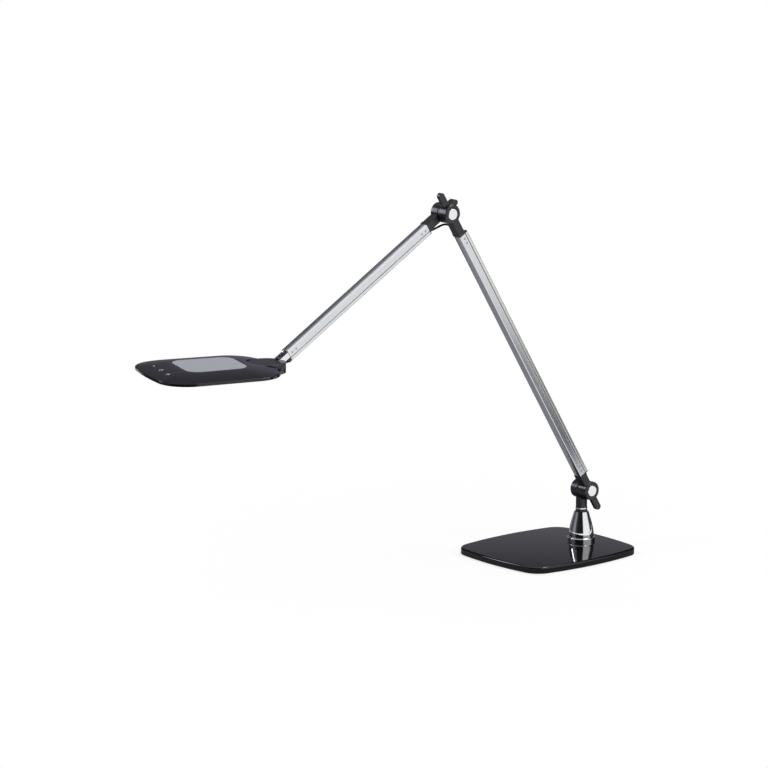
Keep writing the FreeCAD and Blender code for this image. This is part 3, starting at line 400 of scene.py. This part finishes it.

# %% [markdown]
# ## Anodised aluminium extrusion
# Tubes and cable strips are pressed through a die, etched and anodised. The die leaves fine lines along
# the whole length, about 0.2 mm apart; they are drawn 2.5 mm apart so that they show. The etch turns the
# metal satin. The noise is stretched along each arm, so the coordinates are first turned to that arm.
# The narrow joint between a tube and its strip is darkened with painted shade in the colour, where little
# light gets into it.
# Faces of such profiles have a slight crown, here 0.45 mm over a width of 13 mm, which shades them across.

# %% Anodised aluminium extrusion
LINE_STEP = 2.5 * MM
LINE_LONG = 160 * MM
JOINT_SHADE = 6 * MM
CROWN_HIGH, FACE_HALF = 0.45 * MM, 6.5 * MM
CROWN = CROWN_HIGH / FACE_HALF ** 2
LOWER_LEAN, UPPER_DROP = 31.7, 30.6


def extrusion(name, lean, middle):
    """Satin aluminium with die lines along an arm that leans from upright; the middle is its place in x."""
    made, tree, place = start(name)
    turned = add(tree, "ShaderNodeMapping", {"Vector": place, "Rotation": (-math.radians(lean), 0, 0)})
    stretch = (1 / LINE_STEP, 1 / LINE_STEP, 1 / LINE_LONG)
    drawn = add(tree, "ShaderNodeMapping", {"Vector": turned.outputs[0], "Scale": stretch}).outputs[0]
    line = add(tree, "ShaderNodeTexNoise", {"Vector": drawn, "Scale": 1.0, "Detail": 1.0}).outputs[0]
    satin = add(tree, "ShaderNodeMapRange", {0: line, 1: 0.3, 2: 0.7, 3: 0.17, 4: 0.25})
    metal = add(tree, "ShaderNodeMix", {0: line, 6: linear("#d3d6d9"), 7: linear("#e4e6e8")},
                data_type="RGBA")
    # Painted shade: an occlusion test darkens the metal colour in the narrow joint between tube and strip.
    open_sky = add(tree, "ShaderNodeAmbientOcclusion", {"Distance": JOINT_SHADE}, samples=16)
    shade = ramp(tree, open_sky.outputs["AO"], [(0.62, "#2a2b2e"), (0.95, "#ffffff")])
    tone = add(tree, "ShaderNodeMix", {0: 1.0, 6: metal.outputs[2], 7: shade},
               data_type="RGBA", blend_type="MULTIPLY")
    side = add(tree, "ShaderNodeSeparateXYZ", {0: place}).outputs["X"]
    side = add(tree, "ShaderNodeMath", {0: side, 1: middle}, operation="SUBTRACT").outputs[0]
    crown = add(tree, "ShaderNodeMath", {0: side, 1: side}, operation="MULTIPLY").outputs[0]
    crown = add(tree, "ShaderNodeMath", {0: crown, 1: -CROWN}, operation="MULTIPLY").outputs[0]
    swell = add(tree, "ShaderNodeBump", {"Height": crown, "Strength": 1.0, "Distance": 1.0})
    close(tree, add(tree, "ShaderNodeBsdfPrincipled", {
        "Base Color": tone.outputs[2], "Metallic": 1.0, "Roughness": satin.outputs[0],
        "Normal": swell.outputs[0]}))
    return made


def middle_x(name):
    """Middle of a node's box in x."""
    low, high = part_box(name)
    return (low[0] + high[0]) / 2


lower_metal = extrusion("anodised_aluminium_lower_arm", LOWER_LEAN, middle_x("lower_arm_tube"))
upper_metal = extrusion("anodised_aluminium_upper_arm", 90 + UPPER_DROP, middle_x("upper_arm_tube"))
print("finishes:", lower_metal.name, upper_metal.name)

# %% [markdown]
# ## Grey window plate
# The plate in the top of the head is aluminium, blasted with fine glass beads and anodised grey. The
# blasting hides all direction, so the plate looks even and matte from every side. The marks of the
# beads are about 0.1 mm; they are drawn at 0.6 mm so that they show.

# %% Grey window plate
BEAD_MARK = 0.6 * MM

made, tree, place = start("bead_blasted_grey_aluminium")
bead = add(tree, "ShaderNodeTexNoise", {"Vector": place, "Scale": 1 / BEAD_MARK, "Detail": 1.0}).outputs[0]
tone = add(tree, "ShaderNodeMix", {0: bead, 6: linear("#a3a6ad"), 7: linear("#b0b3ba")}, data_type="RGBA")
matte = add(tree, "ShaderNodeMapRange", {0: bead, 1: 0.3, 2: 0.7, 3: 0.5, 4: 0.6})
relief = add(tree, "ShaderNodeBump", {"Height": bead, "Strength": 0.2, "Distance": 0.03 * MM})
close(tree, add(tree, "ShaderNodeBsdfPrincipled", {
    "Base Color": tone.outputs[2], "Metallic": 0.4, "Roughness": matte.outputs[0],
    "Normal": relief.outputs[0]}))
FINISH["grey_plate"] = made
print("finish:", made.name)

# %% [markdown]
# ## Small finishes
# The rest is seen from close by only: the jacket of the leads, the printed touch marks, the opal sheet
# under the head, the clear light guide, the green circuit boards and the foam under the base. Each is
# a material of its own: two near tones, mixed by a grain of its own size, with its own gloss. One
# function makes them all, because they differ in numbers alone.


# %% Small finishes
def grained(name, dark, pale, grain, rough, bump, ior):
    """Moulded, printed or foamed material: two tones mixed by a grain; grain and bump in mm."""
    made, tree, place = start(name)
    pattern = {"Vector": place, "Scale": 1 / (grain * MM), "Detail": 2.0}
    speck = add(tree, "ShaderNodeTexNoise", pattern).outputs[0]
    tone = add(tree, "ShaderNodeMix", {0: speck, 6: linear(dark), 7: linear(pale)}, data_type="RGBA")
    gloss = add(tree, "ShaderNodeMapRange", {0: speck, 1: 0.3, 2: 0.7, 3: rough[0], 4: rough[1]})
    relief = add(tree, "ShaderNodeBump", {"Height": speck, "Strength": 0.3, "Distance": bump * MM})
    close(tree, add(tree, "ShaderNodeBsdfPrincipled", {
        "Base Color": tone.outputs[2], "Roughness": gloss.outputs[0], "IOR": ior,
        "Normal": relief.outputs[0]}))
    return made


# Soft plastic, extruded: dull black with faint streaks.
FINISH["cable_black"] = grained("extruded_black_pvc", "#0b0b0c", "#141416", 1.2, (0.34, 0.46), 0.02, 1.54)
# Thin ink pressed through a mesh: flat and a little uneven.
FINISH["white_mark"] = grained("white_screen_ink", "#b4b4bb", "#c8c8ce", 0.4, (0.45, 0.6), 0.01, 1.5)
# Cast sheet with white filler: even milky white with a satin face.
FINISH["opal"] = grained("opal_acrylic_sheet", "#ebebe7", "#f2f2ee", 14.0, (0.38, 0.46), 0.01, 1.49)
# Cast sheet, polished: pale and glossy.
FINISH["clear"] = grained("cast_acrylic_guide", "#dfe6e6", "#eaf0f0", 6.0, (0.05, 0.1), 0.01, 1.49)
# Lacquer on a circuit board: green with a soft gloss.
FINISH["board"] = grained("green_solder_mask", "#0f3a20", "#16502c", 1.0, (0.3, 0.45), 0.02, 1.5)
# Foamed rubber, cut from a sheet: open cells, no shine.
FINISH["foam_pad"] = grained("black_eva_foam", "#0e0e0f", "#1c1c1e", 0.6, (0.8, 0.95), 0.12, 1.48)
print("finishes:", sorted(FINISH))

# %% [markdown]
# ## Put the finishes on
# Each node of the model has a slot that says what it is made of, and the slot picks its finish.
# Only the aluminium needs more: its lines run along its own arm, so each arm has its own finish.

# %% Put the finishes on
slot_of = {part["node"]: part["material_slot"] for part in frame["record"]["subparts"]}
for name, obj in nodes.items():
    finish = FINISH.get(slot_of[name])
    if slot_of[name] == "anodised":
        finish = lower_metal if name.startswith("lower") else upper_metal
    obj.data.materials.clear()
    obj.data.materials.append(finish)
print("dressed nodes:", len(nodes))

# %% [markdown]
# ## The lead at the elbow
# The lead to the light head leaves the strip of the upper arm and slips into the neck of the lower arm.
# A lead is stiff, so it runs in one easy curve between its two holes. Its route points are the control
# points of a NURBS curve; a round jacket is then built along the points that the curve gives.

# %% The lead at the elbow
# The route is in mm from the middle of the elbow.
ELBOW = Vector((0, -190.6891, 490.8147)) * MM
LEAD_ROUTE = [(0, -25.170, -23.250), (0, -22.738, -22.670), (0, -12.910, -20.327),
              (-4.304, 6.473, -16.571), (5.8, 6.473, -16.571), (11.3, 6.473, -16.571)]
LEAD_RADIUS = 1.4 * MM


def curve_points(route):
    """Points along a NURBS curve whose control points are the route."""
    line = bpy.data.curves.new("lead_line", "CURVE")
    line.dimensions = "3D"
    spline = line.splines.new("NURBS")
    spline.points.add(len(route) - 1)
    for point, place in zip(spline.points, route):
        point.co = (*place, 1.0)
    spline.order_u = 3
    spline.use_endpoint_u = True
    spline.resolution_u = 12
    holder = bpy.data.objects.new("lead_line", line)
    scene.collection.objects.link(holder)
    bpy.context.view_layer.update()
    mesh = bpy.data.meshes.new_from_object(holder.evaluated_get(bpy.context.evaluated_depsgraph_get()))
    points = [v.co.copy() for v in mesh.vertices]
    bpy.data.objects.remove(holder)
    bpy.data.curves.remove(line)
    bpy.data.meshes.remove(mesh)
    return points


def jacket(name, points, radius, sides=16):
    """Round tube with closed ends along points."""
    rings, faces = [], []
    across = Vector((1, 0, 0))
    for i, point in enumerate(points):
        ahead = (points[min(i + 1, len(points) - 1)] - points[max(i - 1, 0)]).normalized()
        across = (across - ahead * across.dot(ahead)).normalized()
        up = ahead.cross(across)
        for k in range(sides):
            turn = 2 * math.pi * k / sides
            rings.append(point + (across * math.cos(turn) + up * math.sin(turn)) * radius)
    for i in range(len(points) - 1):
        for k in range(sides):
            a, b = i * sides + k, i * sides + (k + 1) % sides
            faces.append((a, b, b + sides, a + sides))
    faces.append(tuple(reversed(range(sides))))
    faces.append(tuple(range(len(rings) - sides, len(rings))))
    mesh = bpy.data.meshes.new(name)
    mesh.from_pydata(rings, [], faces)
    mesh.polygons.foreach_set("use_smooth", [len(p.vertices) == 4 for p in mesh.polygons])
    holder = bpy.data.objects.new(name, mesh)
    scene.collection.objects.link(holder)
    return holder


lead_points = curve_points([ELBOW + Vector(p) * MM for p in LEAD_ROUTE])
lead = jacket("elbow_lead", lead_points, LEAD_RADIUS)
lead.data.materials.append(FINISH["cable_black"])
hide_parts("elbow_cable")
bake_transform(lead)
lead_length = sum((b - a).length for a, b in zip(lead_points, lead_points[1:]))
print("lead points:", len(lead_points), "length in mm:", round(lead_length / MM, 1))
